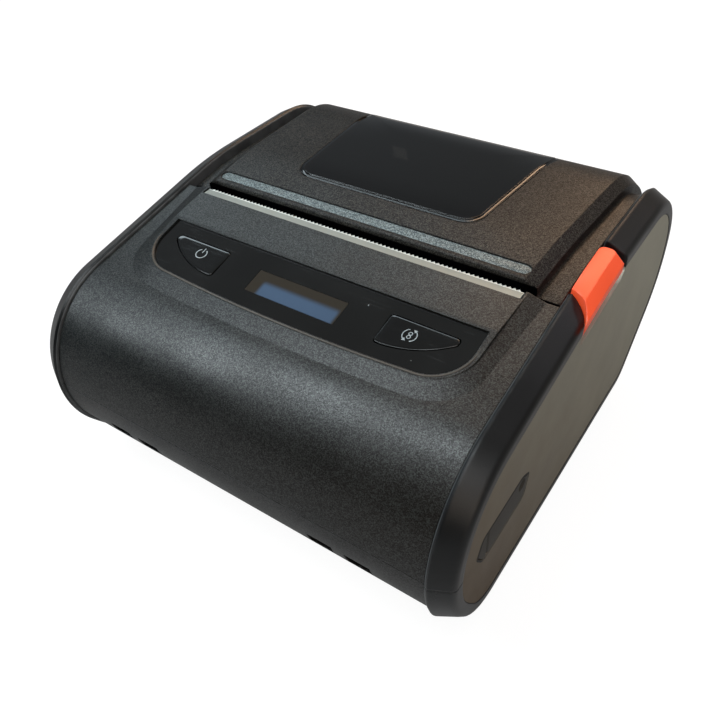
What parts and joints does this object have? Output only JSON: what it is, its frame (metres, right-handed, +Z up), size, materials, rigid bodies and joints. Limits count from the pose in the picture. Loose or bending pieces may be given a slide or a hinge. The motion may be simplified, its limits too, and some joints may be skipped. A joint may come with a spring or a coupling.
{
  "type": "portable receipt printer",
  "caption": "Portable thermal receipt printer: rounded black casing with end caps, hinged paper cover with window, control panel, tear bar and orange release slide.",
  "frame": {"origin": "on the table, under the middle of the printer", "axes": "+X to the user's right, +Y to the back, +Z up"},
  "size_m": [0.1082, 0.1148, 0.0596],
  "materials": {
    "shell": "fine textured metallic black plastic",
    "cap": "satin soft-touch bumper",
    "side": "matt brown-grey plastic",
    "panel": "glossy black film over plastic",
    "lens": "clear display window",
    "window": "smoked clear plastic",
    "orange": "satin orange plastic",
    "steel": "brushed stainless steel",
    "zinc": "zinc-plated steel",
    "alu": "extruded aluminium",
    "board": "green glass-fibre circuit board",
    "chips": "black component packages",
    "inner": "plain black plastic",
    "white": "white acetal",
    "head": "glazed ceramic",
    "platen": "ground silicone rubber",
    "feet": "black rubber",
    "battery": "shrink-wrapped pack",
    "motor": "plated steel can"
  },
  "bodies": {
    "housing": {"upper_casing": "shell", "lower_casing": "shell", "left_end_cap_upper": "cap", "left_end_cap_lower": "cap", "right_end_cap_upper": "cap", "right_end_cap_lower": "cap", "left_side_panel": "side", "right_side_panel": "side", "control_panel": "panel", "display_lens": "lens", "display_module": "chips", "status_light": "white", "key_board": "board", "key_board_screws": "zinc", "tact_switches": "chips", "tear_bar": "steel", "mechanism_frame": "zinc", "thermal_head": "head", "head_heat_sink": "alu", "head_springs": "steel", "stepper_motor": "motor", "gear_stud": "steel", "roll_bin": "inner", "paper_sensor": "chips", "main_board": "board", "board_parts": "chips", "buzzer": "chips", "usb_socket": "zinc", "battery_pack": "battery", "battery_door": "inner", "door_screws": "zinc", "casing_screws": "zinc", "board_screws": "zinc", "rubber_feet": "feet", "hinge_pins": "steel", "flap_anchor": "cap"},
    "cover": {"paper_cover": "shell", "cover_window": "window", "platen_holder": "inner", "platen_bushes": "white", "holder_screws": "zinc"},
    "platen": {"platen_roller": "platen", "platen_shaft": "steel", "platen_gear": "white"},
    "reducer": {"reduction_gear": "white"},
    "pinion": {"motor_pinion": "white"},
    "power_button": {"power_key": "panel"},
    "feed_button": {"feed_key": "panel"},
    "slide": {"release_slide": "orange", "slide_spring": "steel"},
    "flap": {"port_flap": "cap"}
  },
  "joints": [
    {"name": "cover_hinge", "type": "hinge", "parent": "housing", "child": "cover", "pos_m": [0, 0.0543, 0.0364], "axis": [-1, 0, 0], "range_deg": [0, 100]},
    {"name": "platen_turn", "type": "hinge", "parent": "cover", "child": "platen", "pos_m": [0, 0.0015, 0.045], "axis": [1, 0, 0], "continuous": true},
    {"name": "reducer_turn", "type": "hinge", "parent": "housing", "child": "reducer", "pos_m": [-0.044, -0.00871, 0.04091], "axis": [1, 0, 0], "continuous": true},
    {"name": "pinion_turn", "type": "hinge", "parent": "housing", "child": "pinion", "pos_m": [-0.043, -0.012, 0.032], "axis": [1, 0, 0], "continuous": true},
    {"name": "power_press", "type": "slide", "parent": "housing", "child": "power_button", "axis": [0, 0.225, -0.9744], "range_m": [0, 0.0006], "stiffness_N_per_m": 300},
    {"name": "feed_press", "type": "slide", "parent": "housing", "child": "feed_button", "axis": [0, 0.225, -0.9744], "range_m": [0, 0.0006], "stiffness_N_per_m": 300},
    {"name": "release_slide_travel", "type": "slide", "parent": "housing", "child": "slide", "axis": [0, 1, 0], "range_m": [0, 0.003], "stiffness_N_per_m": 400, "deforming": ["slide_spring"]},
    {"name": "port_flap_hinge", "type": "hinge", "parent": "housing", "child": "flap", "pos_m": [0.0528, -0.0422, 0.0271], "axis": [0, 0, -1], "range_deg": [0, 90]}
  ],
  "couplings": [
    {"joint": "reducer_turn", "follows": "platen_turn", "ratio": -1.75},
    {"joint": "pinion_turn", "follows": "platen_turn", "ratio": 3.7917}
  ]
}
